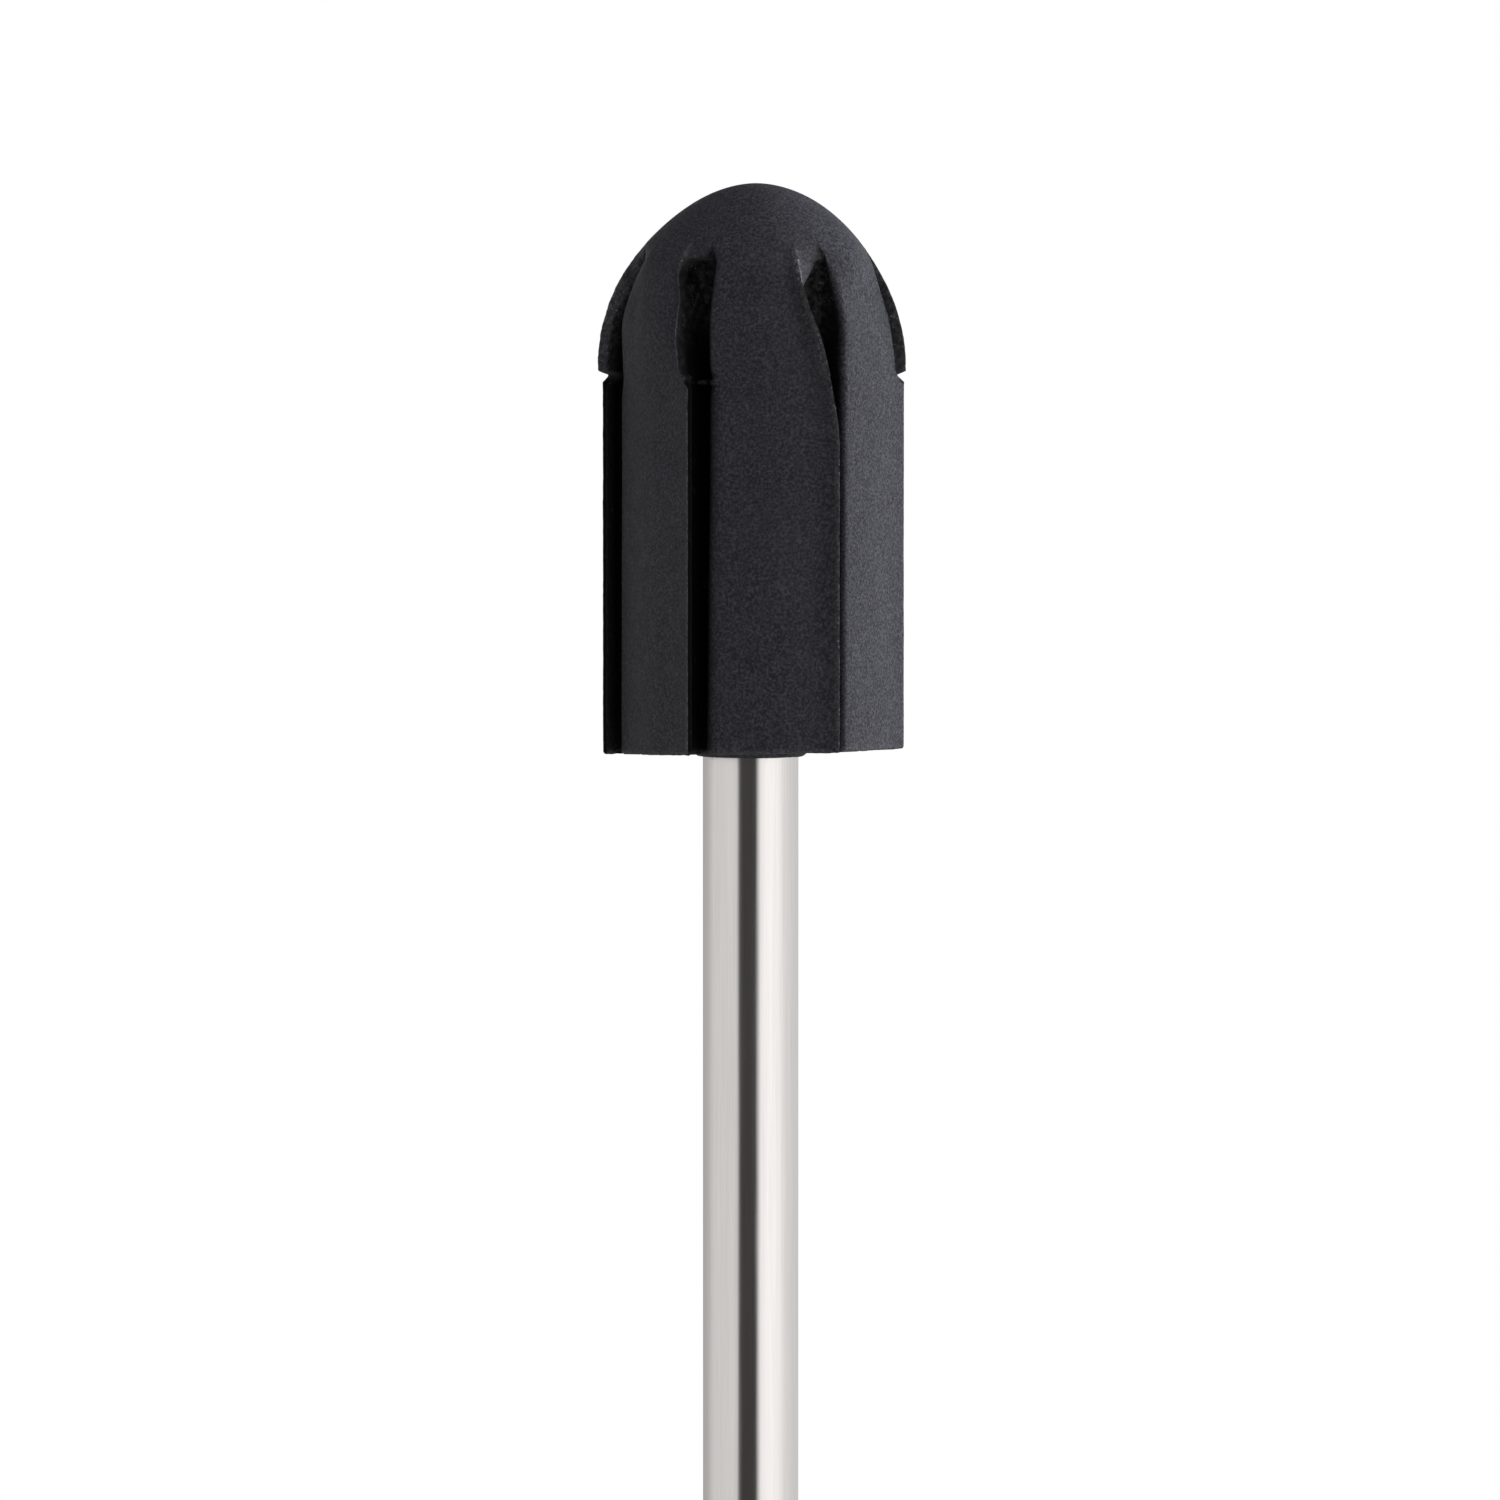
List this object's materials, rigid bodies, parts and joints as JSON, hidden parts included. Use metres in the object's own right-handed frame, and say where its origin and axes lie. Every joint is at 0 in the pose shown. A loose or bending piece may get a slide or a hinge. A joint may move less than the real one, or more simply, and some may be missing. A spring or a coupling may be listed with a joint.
{
  "type": "slotted cap mandrel",
  "caption": "Slotted rubber mandrel for abrasive caps: a bullet-shaped black rubber head moulded on a straight polished steel handpiece shank.",
  "frame": {"origin": "centre of the shank's tail face, on the tool's axis", "axes": "+Z along the axis from the shank's tail to the rubber head's domed tip; -Y is the side seen in the picture's view"},
  "size_m": [0.0074, 0.0068, 0.0445],
  "materials": {
    "shank_steel": "polished, with fine marks along the rod",
    "black_rubber": "matte moulded rubber with a fine grain"
  },
  "bodies": {
    "root": {"steel_shank": "shank_steel", "rubber_head": "black_rubber"}
  },
  "joints": []
}
